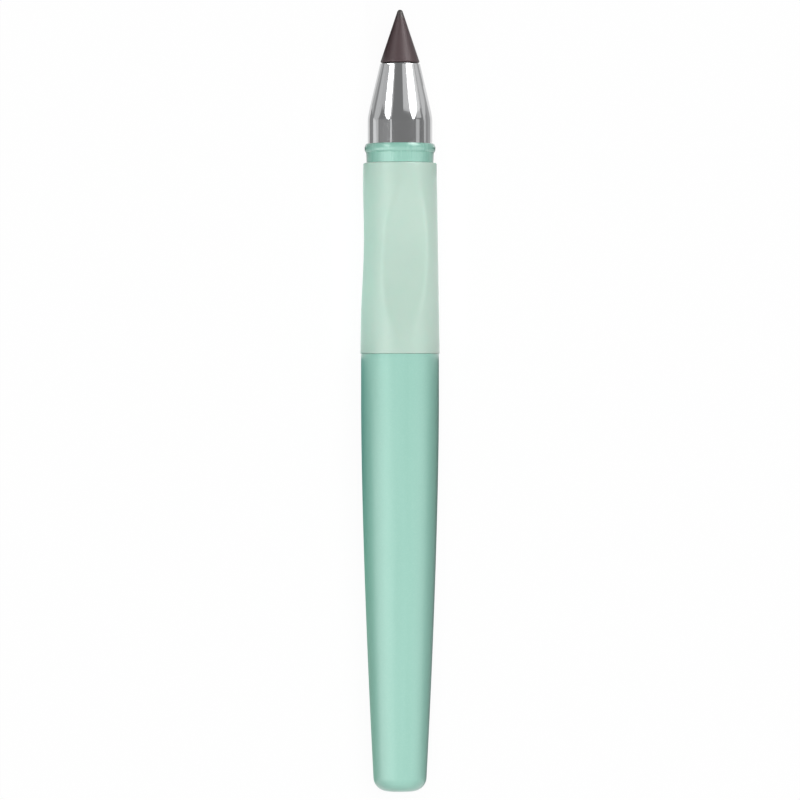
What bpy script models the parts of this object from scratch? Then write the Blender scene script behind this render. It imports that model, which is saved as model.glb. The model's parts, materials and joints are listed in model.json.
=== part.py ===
"""Everlasting pencil: a graphite-alloy nib in a chromed nose, a two-shot grip section and a screwed-on barrel.

The pencil lies on a table along +X with its nib at +X. Values are in metres.
Every round piece is a profile of (radius, height) points, turned about its own Z by a Screw modifier. A
profile runs down its outer side. Each profile is drawn from the seat of its own piece, and the empties on
the axis carry the pieces to their places: the barrel, the section that unscrews from it, and the nib.
The first empty lays the whole pencil down.
"""

import math

import bpy

MM = 0.001

# Turning and fits. The soft sleeve that the pencil lies on has wider facets, so that it doesn't roll.
TURN_STEPS = 50
GRIP_STEPS = 30
SEAT_GAP = 0.3 * MM
BOND_GAP = 0.1 * MM
THREAD_GAP = 0.1 * MM
NIB_GAP = 0.15 * MM

# Writing nib and its stud
NIB_LENGTH = 9.2 * MM
NIB_BASE_RADIUS = 3.28 * MM
NIB_POINT_RADIUS = 0.5 * MM
NIB_EDGE_RADIUS = 0.25 * MM
STUD_RADIUS = 1.5 * MM
STUD_HOLD = 4.2 * MM
STUD_REACH = 6.8 * MM
STUD_CHAMFER = 0.3 * MM
STUD_GROOVE_DEPTH = 0.25 * MM
STUD_GROOVE_WIDTH = 0.6 * MM

# Nose and its bush
NOSE_LENGTH = 13.3 * MM
NOSE_BASE_RADIUS = 5.58 * MM
NOSE_FRONT_RADIUS = 3.38 * MM
NOSE_FRONT_WALL = 0.88 * MM
NOSE_CORNER_HEIGHT = 4.4 * MM
NOSE_BLEND = 2.2 * MM
NOSE_EDGE_RADIUS = 0.12 * MM
NOSE_SPIGOT_LENGTH = 9.0 * MM
NOSE_RIB_RISE = 0.2 * MM
NOSE_RIB_HEIGHT = 0.8 * MM
BUSH_LENGTH = 7.6 * MM
BUSH_RECESS = 0.2 * MM
BUSH_LEDGE = 0.3 * MM
BUSH_BARBS = 3
BUSH_BARB_DEPTH = 0.25 * MM

# Grip core
NECK_RADIUS = 5.82 * MM
NECK_LENGTH = 1.65 * MM
BEAD_RISE = 0.23 * MM
BEAD_HEIGHT = 1.6 * MM
CORE_WALL = 1.1 * MM
SPIGOT_LENGTH = 7.6 * MM
SPIGOT_CHAMFER = 0.4 * MM
SPIGOT_RELIEF_DEPTH = 0.5 * MM
SPIGOT_RELIEF_LENGTH = 0.9 * MM

# Grip sleeve and its finger flats
GRIP_LENGTH = 32.8 * MM
GRIP_FRONT_RADIUS = 6.35 * MM
GRIP_REAR_STEP = 0.12 * MM
GRIP_FRONT_EDGE = 0.28 * MM
GRIP_REAR_EDGE = 0.12 * MM
GRIP_WALL_AT_FLAT = 0.75 * MM
FLAT_COUNT = 3
FLAT_TURN = math.radians(10.0)
FLAT_HEIGHT = 17.4 * MM
FLAT_LENGTH = 21.7 * MM
FLAT_LEAN = math.radians(25.0)
FLAT_DEPTH = 1.25 * MM
FLAT_CUTTER_STEPS = 180

# Barrel
BARREL_LENGTH = 75.4 * MM
BARREL_MOUTH_RADIUS = 6.73 * MM
BARREL_FOOT_RADIUS = 4.46 * MM
BARREL_TAPER_POWER = 1.6
BARREL_TAPER_POINTS = 12
BARREL_END_ROUNDING = 2.45 * MM
BARREL_WALL = 1.15 * MM
BARREL_END_WALL = 2.4 * MM
BARREL_BOTTOM_GAP = 0.35 * MM
BARREL_LEAD_IN = 0.25 * MM

# Sizes that follow from those above
THREAD_DEPTH = SEAT_GAP + SPIGOT_LENGTH + BARREL_BOTTOM_GAP
BARREL_THREAD_RADIUS = BARREL_MOUTH_RADIUS - BARREL_WALL
SPIGOT_RADIUS = BARREL_THREAD_RADIUS - THREAD_GAP
GRIP_REAR_RADIUS = BARREL_MOUTH_RADIUS + GRIP_REAR_STEP
GRIP_RADIUS_AT_FLAT = GRIP_REAR_RADIUS + (GRIP_FRONT_RADIUS - GRIP_REAR_RADIUS) * FLAT_HEIGHT / GRIP_LENGTH
FLAT_DISTANCE = GRIP_RADIUS_AT_FLAT - FLAT_DEPTH
GRIP_BORE_RADIUS = FLAT_DISTANCE - GRIP_WALL_AT_FLAT
TUBE_RADIUS = GRIP_BORE_RADIUS - BOND_GAP
CORE_BORE_RADIUS = TUBE_RADIUS - CORE_WALL
COLLAR_HEIGHT = GRIP_LENGTH + SEAT_GAP
CORE_FRONT = COLLAR_HEIGHT + NECK_LENGTH + BEAD_HEIGHT
NOSE_SPIGOT_RADIUS = CORE_BORE_RADIUS - BOND_GAP
NOSE_BUSH_RADIUS = NOSE_FRONT_RADIUS - NOSE_FRONT_WALL
NOSE_RIB_DEPTH = BEAD_HEIGHT + NECK_LENGTH / 2 + SEAT_GAP
BUSH_RADIUS = NOSE_BUSH_RADIUS - BOND_GAP
SECTION_HEIGHT = BARREL_LENGTH + SEAT_GAP
NOSE_HEIGHT = CORE_FRONT + SEAT_GAP
NIB_HEIGHT = SECTION_HEIGHT + NOSE_HEIGHT + NOSE_LENGTH + NIB_GAP
PENCIL_LENGTH = NIB_HEIGHT + NIB_LENGTH
REST_HEIGHT = GRIP_REAR_RADIUS * math.cos(math.pi / GRIP_STEPS)


def arc(radius, height, rounding, start, end, count):
    """Points on a circle about (radius, height), from one angle in degrees to another."""
    points = []
    for step in range(count):
        angle = math.radians(start + (end - start) * step / (count - 1))
        points.append((radius + rounding * math.cos(angle), height + rounding * math.sin(angle)))
    return points


def blend(start, corner, end, count):
    """Points on the parabola that softens a corner and meets both of its sides tangentially."""
    points = []
    for step in range(count):
        share = step / (count - 1)
        weights = ((1 - share) ** 2, 2 * share * (1 - share), share**2)
        ends = (start, corner, end)
        radius = sum(weight * point[0] for weight, point in zip(weights, ends))
        height = sum(weight * point[1] for weight, point in zip(weights, ends))
        points.append((radius, height))
    return points


def bulge(radius, low, high, rise, count):
    """Points down the rounded flank of a ring that stands out from a radius between two heights."""
    half = (high - low) / 2
    rounding = (half**2 + rise**2) / (2 * rise)
    centre = radius + rise - rounding
    spread = math.degrees(math.asin(half / rounding))
    return arc(centre, (low + high) / 2, rounding, spread, -spread, count)


def barrel_radius(height):
    """Outside of the barrel: straight over the thread, then falling by a power of the distance below it."""
    start = BARREL_LENGTH - THREAD_DEPTH
    share = max(0.0, (start - height) / start)
    return BARREL_MOUTH_RADIUS - (BARREL_MOUTH_RADIUS - BARREL_FOOT_RADIUS) * share**BARREL_TAPER_POWER


def barrel_profile():
    """A tube with a closed, rounded end, from the middle of its floor over the mouth to the middle of its foot."""
    start = BARREL_LENGTH - THREAD_DEPTH
    drop = (start - BARREL_END_WALL) / (BARREL_TAPER_POINTS - 1)
    inside = [(0.0, BARREL_END_WALL)]
    for step in range(BARREL_TAPER_POINTS):
        height = BARREL_END_WALL + drop * step
        inside.append((barrel_radius(height) - BARREL_WALL, height))
    inside.append((BARREL_THREAD_RADIUS, BARREL_LENGTH - BARREL_LEAD_IN))
    inside.append((BARREL_THREAD_RADIUS + BARREL_LEAD_IN, BARREL_LENGTH))
    rim = arc(BARREL_MOUTH_RADIUS - BARREL_LEAD_IN, BARREL_LENGTH - BARREL_LEAD_IN, BARREL_LEAD_IN, 90, 0, 3)
    drop = (start - BARREL_END_ROUNDING) / (BARREL_TAPER_POINTS - 1)
    outside = []
    for step in range(BARREL_TAPER_POINTS - 1):
        height = start - drop * step
        outside.append((barrel_radius(height), height))
    edge = barrel_radius(BARREL_END_ROUNDING) - BARREL_END_ROUNDING
    foot = arc(edge, BARREL_END_ROUNDING, BARREL_END_ROUNDING, 0, -90, 7)
    return inside + rim + outside + foot + [(0.0, 0.0)]


def core_profile():
    """The section's hard core: bead, neck, tube under the sleeve and threaded spigot, about a straight bore."""
    chamfer = SPIGOT_CHAMFER
    spigot_end = -SEAT_GAP - SPIGOT_LENGTH
    relief = SPIGOT_RADIUS - SPIGOT_RELIEF_DEPTH
    groove = NOSE_SPIGOT_RADIUS + NOSE_RIB_RISE + BOND_GAP
    groove_half = NOSE_RIB_HEIGHT / 2 + BOND_GAP
    groove_height = CORE_FRONT + SEAT_GAP - NOSE_RIB_DEPTH
    points = bulge(NECK_RADIUS, COLLAR_HEIGHT + NECK_LENGTH, CORE_FRONT, BEAD_RISE, 7)
    points += [(NECK_RADIUS, COLLAR_HEIGHT), (TUBE_RADIUS, COLLAR_HEIGHT)]
    points += [(TUBE_RADIUS, -BOND_GAP), (SPIGOT_RADIUS, -BOND_GAP)]
    points += [(SPIGOT_RADIUS, -SEAT_GAP), (relief, -SEAT_GAP - SPIGOT_RELIEF_DEPTH)]
    points += [(relief, -SEAT_GAP - SPIGOT_RELIEF_LENGTH)]
    points += [(SPIGOT_RADIUS, -SEAT_GAP - SPIGOT_RELIEF_LENGTH - SPIGOT_RELIEF_DEPTH)]
    points += [(SPIGOT_RADIUS, spigot_end + chamfer), (SPIGOT_RADIUS - chamfer, spigot_end)]
    points += [(CORE_BORE_RADIUS, spigot_end), (CORE_BORE_RADIUS, groove_height - groove_half)]
    points += [(groove, groove_height - groove_half / 2), (groove, groove_height + groove_half / 2)]
    points += [(CORE_BORE_RADIUS, groove_height + groove_half), (CORE_BORE_RADIUS, CORE_FRONT)]
    return points


def sleeve_profile():
    """The soft sleeve before its flats are cut: a slightly tapered tube with softened ends."""
    front = GRIP_FRONT_RADIUS - GRIP_FRONT_EDGE
    rear = GRIP_REAR_RADIUS - GRIP_REAR_EDGE
    points = arc(front, GRIP_LENGTH - GRIP_FRONT_EDGE, GRIP_FRONT_EDGE, 90, 0, 4)
    points += arc(rear, GRIP_REAR_EDGE, GRIP_REAR_EDGE, 0, -90, 3)
    points += [(GRIP_BORE_RADIUS, 0.0), (GRIP_BORE_RADIUS, GRIP_LENGTH)]
    return points


def nose_profile():
    """The nose: a cone that runs into a straight band, with a ribbed spigot behind and a bush seat in front."""
    corner = (NOSE_BASE_RADIUS, NOSE_CORNER_HEIGHT)
    rise = NOSE_LENGTH - NOSE_EDGE_RADIUS - NOSE_CORNER_HEIGHT
    lean = (NOSE_FRONT_RADIUS - NOSE_BASE_RADIUS) / rise
    upper = (NOSE_BASE_RADIUS + lean * NOSE_BLEND, NOSE_CORNER_HEIGHT + NOSE_BLEND)
    lower = (NOSE_BASE_RADIUS, NOSE_CORNER_HEIGHT - NOSE_BLEND)
    ledge = NOSE_LENGTH - BUSH_RECESS - BUSH_LENGTH - BOND_GAP
    rear_bore = BUSH_RADIUS - BUSH_LEDGE
    rib = -NOSE_RIB_DEPTH
    half = NOSE_RIB_HEIGHT / 2
    chamfer = NOSE_RIB_RISE
    spigot = NOSE_SPIGOT_RADIUS
    edge = NOSE_EDGE_RADIUS
    points = arc(NOSE_FRONT_RADIUS - edge, NOSE_LENGTH - edge, edge, 90, 0, 3)
    points += blend(upper, corner, lower, 7)
    points += [(NOSE_BASE_RADIUS, edge), (NOSE_BASE_RADIUS - edge, 0.0), (spigot, 0.0)]
    points += [(spigot, rib + half), (spigot + NOSE_RIB_RISE, rib + half / 2)]
    points += [(spigot + NOSE_RIB_RISE, rib - half / 2), (spigot, rib - half)]
    points += [(spigot, chamfer - NOSE_SPIGOT_LENGTH), (spigot - chamfer, -NOSE_SPIGOT_LENGTH)]
    points += [(rear_bore, -NOSE_SPIGOT_LENGTH), (rear_bore, ledge)]
    points += [(NOSE_BUSH_RADIUS, ledge), (NOSE_BUSH_RADIUS, NOSE_LENGTH)]
    return points


def bush_profile():
    """The brass bush, its front face at height 0, with saw-tooth barbs that hold it in the nose."""
    tooth = BUSH_LENGTH / (BUSH_BARBS + 1)
    points = [(BUSH_RADIUS, 0.0)]
    for barb in range(BUSH_BARBS):
        points.append((BUSH_RADIUS, -tooth * (barb + 0.7)))
        points.append((BUSH_RADIUS - BUSH_BARB_DEPTH, -tooth * (barb + 1)))
    points += [(BUSH_RADIUS - BUSH_BARB_DEPTH, -BUSH_LENGTH)]
    bore = STUD_RADIUS + THREAD_GAP
    points += [(bore, -BUSH_LENGTH), (bore, 0.0)]
    return points


def stud_profile():
    """The steel stud, its middle plane at the nib's base: keyed above, threaded below."""
    chamfer = STUD_CHAMFER
    key = STUD_RADIUS - STUD_GROOVE_DEPTH
    pitch = STUD_HOLD / 3
    points = [(0.0, STUD_HOLD), (STUD_RADIUS, STUD_HOLD)]
    for groove in (2, 1):
        middle = pitch * groove
        points += [(STUD_RADIUS, middle + STUD_GROOVE_WIDTH / 2), (key, middle + STUD_GROOVE_WIDTH / 2)]
        points += [(key, middle - STUD_GROOVE_WIDTH / 2), (STUD_RADIUS, middle - STUD_GROOVE_WIDTH / 2)]
    points += [(STUD_RADIUS, chamfer - STUD_REACH), (STUD_RADIUS - chamfer, -STUD_REACH), (0.0, -STUD_REACH)]
    return points


def nib_profile():
    """The cone: a ball point, a straight flank that touches the ball, a soft base edge and a blind hole."""
    ball = NIB_LENGTH - NIB_POINT_RADIUS
    fall = ball - NIB_EDGE_RADIUS
    reach = math.hypot(NIB_BASE_RADIUS, fall)
    touch = math.degrees(math.acos(NIB_POINT_RADIUS / reach) - math.atan2(fall, NIB_BASE_RADIUS))
    hole = STUD_RADIUS + BOND_GAP
    points = arc(0.0, ball, NIB_POINT_RADIUS, 90, touch, 6)
    points[0] = (0.0, NIB_LENGTH)
    points += arc(NIB_BASE_RADIUS - NIB_EDGE_RADIUS, NIB_EDGE_RADIUS, NIB_EDGE_RADIUS, 0, -90, 4)
    points += [(hole, 0.0), (hole, STUD_HOLD + BOND_GAP), (0.0, STUD_HOLD + BOND_GAP)]
    return points


def linear(code):
    """A hex sRGB colour as linear RGBA."""
    channels = []
    for start in (0, 2, 4):
        value = int(code[start : start + 2], 16) / 255
        channels.append(value / 12.92 if value <= 0.04045 else ((value + 0.055) / 1.055) ** 2.4)
    return (*channels, 1.0)


def material(name, code, roughness, metallic):
    made = bpy.data.materials.new(name)
    made.use_nodes = True
    shader = made.node_tree.nodes["Principled BSDF"]
    shader.inputs["Base Color"].default_value = linear(code)
    shader.inputs["Roughness"].default_value = roughness
    shader.inputs["Metallic"].default_value = metallic
    made.diffuse_color = linear(code)
    return made


def empty(name, collection, height, parent):
    """A carrier on the pencil's axis."""
    made = bpy.data.objects.new(name, None)
    made.empty_display_type = "SINGLE_ARROW"
    made.empty_display_size = 0.01
    made.parent = parent
    made.location = (0.0, 0.0, height)
    collection.objects.link(made)
    return made


def turned(name, collection, profile, closed, parent, height, finish, steps=TURN_STEPS):
    """A piece turned from its profile. A closed profile makes a ring, an open one starts and ends on the axis."""
    count = len(profile)
    edges = [(index, index + 1) for index in range(count - 1)]
    if closed:
        edges.append((count - 1, 0))
    mesh = bpy.data.meshes.new(name)
    mesh.from_pydata([(radius, 0.0, level) for radius, level in profile], edges, [])
    mesh.materials.append(finish)
    piece = bpy.data.objects.new(name, mesh)
    piece.parent = parent
    piece.location = (0.0, 0.0, height)
    collection.objects.link(piece)
    screw = piece.modifiers.new("Turn", "SCREW")
    screw.axis = "Z"
    screw.steps = steps
    screw.render_steps = steps
    screw.use_merge_vertices = True
    screw.merge_threshold = 0.01 * MM
    screw.use_smooth_shade = True
    return piece


def flat_cutter(index, collection, parent):
    """A wide drum that lies across the sleeve and scoops one finger flat, deepest at FLAT_HEIGHT.

    It leans to the sleeve's axis, so that the flat runs askew, nearer the nib on its clockwise side.
    """
    half = FLAT_LENGTH / 2
    drum = (half**2 + FLAT_DEPTH**2) / (2 * FLAT_DEPTH)
    width = 4 * GRIP_REAR_RADIUS
    turn = FLAT_TURN + math.tau * index / FLAT_COUNT
    bpy.ops.mesh.primitive_cylinder_add(vertices=FLAT_CUTTER_STEPS, radius=drum, depth=width)
    cutter = bpy.context.object
    cutter.name = f"flat_cutter_{index + 1}"
    for holder in cutter.users_collection:
        holder.objects.unlink(cutter)
    collection.objects.link(cutter)
    cutter.parent = parent
    reach = FLAT_DISTANCE + drum
    cutter.rotation_euler = (0.0, math.pi / 2 - FLAT_LEAN, turn)
    cutter.location = (reach * math.sin(turn), -reach * math.cos(turn), FLAT_HEIGHT)
    cutter.display_type = "WIRE"
    cutter.hide_render = True
    return cutter


def cut(piece, cutter):
    boolean = piece.modifiers.new(f"Cut {cutter.name}", "BOOLEAN")
    boolean.operation = "DIFFERENCE"
    boolean.solver = "EXACT"
    boolean.object = cutter


def build():
    for left_over in list(bpy.data.objects):
        bpy.data.objects.remove(left_over)
    scene = bpy.context.scene
    parts = bpy.data.collections.new("everlasting_pencil")
    cutters = bpy.data.collections.new("cutters")
    cutters.hide_render = True
    scene.collection.children.link(parts)
    scene.collection.children.link(cutters)

    pencil = empty("pencil_axis", parts, 0.0, None)
    pencil.location = (-PENCIL_LENGTH / 2, 0.0, REST_HEIGHT)
    pencil.rotation_euler = (-math.pi / 2, 0.0, -math.pi / 2)
    section = empty("section_joint", parts, SECTION_HEIGHT, pencil)
    nib = empty("nib_joint", parts, NIB_HEIGHT - SECTION_HEIGHT, section)

    pearl = material("pearl_teal", "A6D4C5", 0.35, 0.25)
    hard_teal = material("moulded_teal", "9ACFBD", 0.3, 0.0)
    soft_mint = material("soft_mint", "C0D9CC", 0.5, 0.0)
    chrome = material("chrome_plate", "D8D9DA", 0.08, 1.0)
    brass = material("turned_brass", "C9A24E", 0.3, 1.0)
    steel = material("threaded_steel", "A9ABAD", 0.3, 1.0)
    graphite = material("graphite_alloy", "5B5350", 0.45, 0.5)

    turned("barrel", parts, barrel_profile(), False, pencil, 0.0, pearl)
    turned("grip_core", parts, core_profile(), True, section, 0.0, hard_teal)
    sleeve = turned("grip_sleeve", parts, sleeve_profile(), True, section, 0.0, soft_mint, GRIP_STEPS)
    turned("nose_cone", parts, nose_profile(), True, section, NOSE_HEIGHT, chrome)
    bush_height = NOSE_HEIGHT + NOSE_LENGTH - BUSH_RECESS
    turned("nib_bush", parts, bush_profile(), True, section, bush_height, brass)
    turned("nib_stud", parts, stud_profile(), False, nib, 0.0, steel)
    turned("writing_nib", parts, nib_profile(), False, nib, 0.0, graphite)

    for index in range(FLAT_COUNT):
        cut(sleeve, flat_cutter(index, cutters, section))


build()
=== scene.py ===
"""Looks of an everlasting pencil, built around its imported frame.

The file is laid out as an add-on and run as a script. Each operator turns one piece of the pencil as a grid
of points, gives it its finish and lets it ride on its body. Values are in metres. A place on the pencil is
its distance along the axis from the barrel's end, its distance from the axis, and its angle about the axis,
which is 0 at the top and grows towards -Y.
"""

import json
import math

import bmesh
import bpy
import numpy as np
from bpy.props import FloatProperty, FloatVectorProperty, IntProperty, PointerProperty
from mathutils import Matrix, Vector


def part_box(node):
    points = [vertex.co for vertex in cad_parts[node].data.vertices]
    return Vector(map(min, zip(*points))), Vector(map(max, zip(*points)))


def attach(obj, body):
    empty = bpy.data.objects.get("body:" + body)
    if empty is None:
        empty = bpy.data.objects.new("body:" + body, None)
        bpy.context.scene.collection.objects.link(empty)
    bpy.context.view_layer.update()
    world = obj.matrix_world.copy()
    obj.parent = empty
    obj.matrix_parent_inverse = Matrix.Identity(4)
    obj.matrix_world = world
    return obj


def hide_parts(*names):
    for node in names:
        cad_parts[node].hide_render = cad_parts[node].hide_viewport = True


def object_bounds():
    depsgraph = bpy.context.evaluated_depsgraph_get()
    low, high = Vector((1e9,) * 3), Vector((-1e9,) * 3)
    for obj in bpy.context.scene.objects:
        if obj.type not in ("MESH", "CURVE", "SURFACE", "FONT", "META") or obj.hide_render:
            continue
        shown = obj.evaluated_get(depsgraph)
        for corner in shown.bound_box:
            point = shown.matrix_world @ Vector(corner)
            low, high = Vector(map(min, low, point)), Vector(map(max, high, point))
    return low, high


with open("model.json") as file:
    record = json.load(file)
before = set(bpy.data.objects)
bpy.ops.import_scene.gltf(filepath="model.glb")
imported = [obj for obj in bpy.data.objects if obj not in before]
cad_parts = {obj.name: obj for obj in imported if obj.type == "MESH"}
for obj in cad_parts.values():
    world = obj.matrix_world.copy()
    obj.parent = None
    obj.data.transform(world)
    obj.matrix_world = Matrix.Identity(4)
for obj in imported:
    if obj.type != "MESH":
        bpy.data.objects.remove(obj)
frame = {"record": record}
CAD_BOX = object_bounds()

bl_info = {
    "name": "Everlasting Pencil",
    "version": (1, 0, 0),
    "blender": (4, 5, 0),
    "location": "View3D > Sidebar > Pencil",
    "description": "Turns, finishes and lights an everlasting pencil around its packed frame",
    "category": "Add Mesh",
}

MM = 0.001

# What the frame says of each node: the body that it rides on
RECORD = frame["record"]
BODY_OF = {node: body for body, nodes in RECORD["behaviour"]["bodies"].items() for node in nodes}


def reach(node):
    """Where a node starts and ends along the axis, and its greatest distance from the axis."""
    low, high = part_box(node)
    return low.x - CAD_BOX[0].x, high.x - CAD_BOX[0].x, (high.y - low.y) / 2


BARREL_MOUTH, BARREL_RADIUS = reach("barrel")[1:]
CORE_REAR, CORE_FRONT, BEAD_RADIUS = reach("grip_core")
SLEEVE_REAR, SLEEVE_FRONT, SLEEVE_RADIUS = reach("grip_sleeve")
NOSE_REAR, NOSE_FRONT, NOSE_RADIUS = reach("nose_cone")
BUSH_REAR, BUSH_FRONT, BUSH_RADIUS = reach("nib_bush")
STUD_REAR, STUD_FRONT, STUD_RADIUS = reach("nib_stud")
NIB_BASE, NIB_TIP, NIB_RADIUS = reach("writing_nib")
AXIS_HEIGHT = (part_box("barrel")[0].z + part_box("barrel")[1].z) / 2
FLOOR_GAP = 0.02 * MM
FLOOR_HEIGHT = AXIS_HEIGHT - SLEEVE_RADIUS - FLOOR_GAP
CARD_LIFT = 0.1 * MM

# Longest stretch between two rows of points on plain lengths, the sleeve, faces, the core and fine threads
PLAIN_ROWS = 1.0 * MM
SLEEVE_ROWS = 0.3 * MM
FACE_ROWS = 0.2 * MM
CORE_ROWS = 0.1 * MM
THREAD_ROWS = 0.05 * MM
# Rows whose distance from the axis differs by less are on one level.
SAME_LEVEL = 1e-7


def linear(code):
    """A hex sRGB colour as linear RGBA."""
    value = np.array([int(code[start : start + 2], 16) for start in (0, 2, 4)]) / 255
    channels = np.where(value <= 0.04045, value / 12.92, ((value + 0.055) / 1.055) ** 2.4)
    return (*channels.tolist(), 1.0)


# Kinds of setting


def size(name, description, default):
    return FloatProperty(
        name=name, description=description, default=default, min=0.0, unit="LENGTH", precision=6
    )


def angle(name, description, degrees):
    return FloatProperty(
        name=name, description=description, default=math.radians(degrees), subtype="ANGLE"
    )


def share(name, description, default):
    return FloatProperty(
        name=name, description=description, default=default, min=0.0, max=1.0, subtype="FACTOR"
    )


def number(name, description, default):
    return FloatProperty(name=name, description=description, default=default, min=0.0)


def colour(name, description, code):
    return FloatVectorProperty(
        name=name, description=description, default=linear(code), size=4, min=0.0, max=1.0, subtype="COLOR"
    )


class BarrelSettings(bpy.types.PropertyGroup):
    mouth_radius: size("Mouth radius", "Outside of the barrel at its mouth", BARREL_RADIUS)
    foot_radius: size("Foot radius", "Outside that the taper reaches at the closed end", 4.46 * MM)
    taper_power: number("Taper power", "How late the taper comes on towards the foot", 1.6)
    straight: size("Straight mouth", "Length over the thread that doesn't taper", 8.25 * MM)
    end_rounding: size("End rounding", "Rounding between the side and the flat end", 2.45 * MM)
    rim_rounding: size("Rim rounding", "Rounding of the mouth's edges", 0.08 * MM)
    wall: size("Wall", "Thickness of the wall", 1.15 * MM)
    floor: size("Floor", "Thickness of the closed end", 2.4 * MM)
    pitch: size("Thread pitch", "Pitch of the thread in the mouth", 1.0 * MM)
    thread_depth: size("Thread depth", "Depth of the thread's grooves", 0.4 * MM)
    seam: size("Seam", "How far the rim reaches out to close the seam at the sleeve", 0.14 * MM)
    colour: colour("Colour", "Pearl pigment of the barrel", "88C0AF")
    streak_colour: colour("Streak colour", "Paler flow lines of the pigment", "90C6B6")
    # Painted glint: this flake colour goes into the barrel's base colour as paler random cells that stand in
    # for the sparkle of the mica flakes.
    painted_sparkle_colour: colour("Flake colour", "Glint of the mica flakes", "ACD6CA")


class CoreSettings(bpy.types.PropertyGroup):
    neck_radius: size("Neck radius", "Groove behind the bead that a cap snaps over", 5.805 * MM)
    neck_rise: size("Neck rise", "How much the neck widens towards the bead", 0.08 * MM)
    neck_rear: size("Neck rear", "Where the neck meets the sleeve", SLEEVE_FRONT + 0.05 * MM)
    bead_front: size("Bead front", "Where the bead meets the nose", CORE_FRONT - 0.22 * MM)
    bead_brow: size("Bead brow", "Length of the bead's rounded front", 0.8 * MM)
    bead_drop: size("Bead drop", "How far the rounded front falls towards the nose", 0.36 * MM)
    bead_crown: size("Bead crown", "How far the crest stands over the solid's", 0.06 * MM)
    bead_back: size("Bead back", "Length of the bead's rounded rear", 0.74 * MM)
    tube_radius: size("Tube radius", "Tube under the soft sleeve", 4.485 * MM)
    bore_radius: size("Bore radius", "Bore that takes the nose", 3.385 * MM)
    spigot_radius: size("Spigot radius", "Crest of the thread that enters the barrel", 5.48 * MM)
    spigot_shoulder: size("Spigot shoulder", "Where the spigot starts", SLEEVE_REAR - 0.1 * MM)
    relief: size("Relief", "Length of the plain groove in front of the thread", 1.4 * MM)
    pitch: size("Thread pitch", "Pitch of the thread on the spigot", 1.0 * MM)
    thread_depth: size("Thread depth", "Depth of the thread's grooves", 0.45 * MM)
    chamfer: size("Chamfer", "Lead-in of the spigot", 0.4 * MM)
    colour: colour("Colour", "Pearl pigment of the core", "88C0AF")
    streak_colour: colour("Streak colour", "Paler flow lines of the pigment", "8EC4B4")
    # Painted glint: this flake colour goes into the core's base colour as paler random cells that stand in
    # for the sparkle of the mica flakes.
    painted_sparkle_colour: colour("Flake colour", "Glint of the mica flakes", "A8D4C7")


class SleeveSettings(bpy.types.PropertyGroup):
    rear_radius: size("Rear radius", "Outside of the sleeve at the barrel", SLEEVE_RADIUS)
    front_radius: size("Front radius", "Outside of the sleeve at the neck", 6.35 * MM)
    bore_radius: size("Bore radius", "Inside of the sleeve on the core", 4.585 * MM)
    front_edge: size("Front edge", "Rounding of the front edge", 0.28 * MM)
    rear_edge: size("Rear edge", "Rounding of the rear edge", 0.08 * MM)
    seam: size("Seam", "How far the rear reaches out to close the seam at the barrel", 0.14 * MM)
    flat_count: IntProperty(name="Flats", description="Finger flats round the sleeve", default=3, min=1)
    flat_turn: angle("Flat turn", "Angle of the first flat from the top", 10.0)
    flat_middle: size("Flat middle", "Place of the flats' deepest point", SLEEVE_REAR + 17.4 * MM)
    flat_distance: size("Flat distance", "Least distance of a flat from the axis", 5.335 * MM)
    flat_drum: size("Flat drum", "Radius of the long hollow of a flat", 47.8 * MM)
    flat_lean: angle("Flat lean", "How far the hollow runs askew, nearer the nib on its -Y side", 25.0)
    crease: size("Crease", "Softness of the edge round a flat", 0.35 * MM)
    colour: colour("Colour", "Soft mint of the sleeve", "C0D9CC")
    deep_colour: colour("Deep colour", "Tint that light takes on inside the sleeve", "98CAB8")


class NoseSettings(bpy.types.PropertyGroup):
    front_radius: size("Front radius", "Outside of the front edge", 3.46 * MM)
    seat_radius: size("Seat radius", "Bore that holds the bush", 2.5 * MM)
    base: size("Base", "Where the nose meets the bead", CORE_FRONT - 0.2 * MM)
    band: size("Band", "Length of the straight band in front of the bead", 3.83 * MM)
    swell: size("Swell", "Softness of the bend from the band into the cone", 1.1 * MM)
    edge: size("Edge", "Rounding of the front edge", 0.12 * MM)
    spigot_radius: size("Spigot radius", "Tail that is pressed into the core", 3.285 * MM)
    tail_bore: size("Tail bore", "Bore behind the bush", 2.1 * MM)
    colour: colour("Colour", "Chrome plate", "DDDEDF")


class BushSettings(bpy.types.PropertyGroup):
    bore_radius: size("Bore radius", "Crest of the thread in the bush", 1.6 * MM)
    pitch: size("Thread pitch", "Pitch of the thread in the bush", 0.5 * MM)
    thread_depth: size("Thread depth", "Depth of the thread's grooves", 0.25 * MM)
    chamfer: size("Chamfer", "Lead-in of the bore", 0.3 * MM)
    barb_depth: size("Barb depth", "Depth of the barbs outside", 0.25 * MM)
    barb_count: IntProperty(name="Barbs", description="Barbs that hold the bush", default=3, min=1)
    colour: colour("Colour", "Turned brass", "C9A24E")


class StudSettings(bpy.types.PropertyGroup):
    pitch: size("Thread pitch", "Pitch of the thread on the stud", 0.5 * MM)
    thread_depth: size("Thread depth", "Depth of the thread's grooves", 0.3 * MM)
    chamfer: size("Chamfer", "Lead-in of the stud", 0.3 * MM)
    colour: colour("Colour", "Zinc-plated steel", "B4B6B8")


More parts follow.
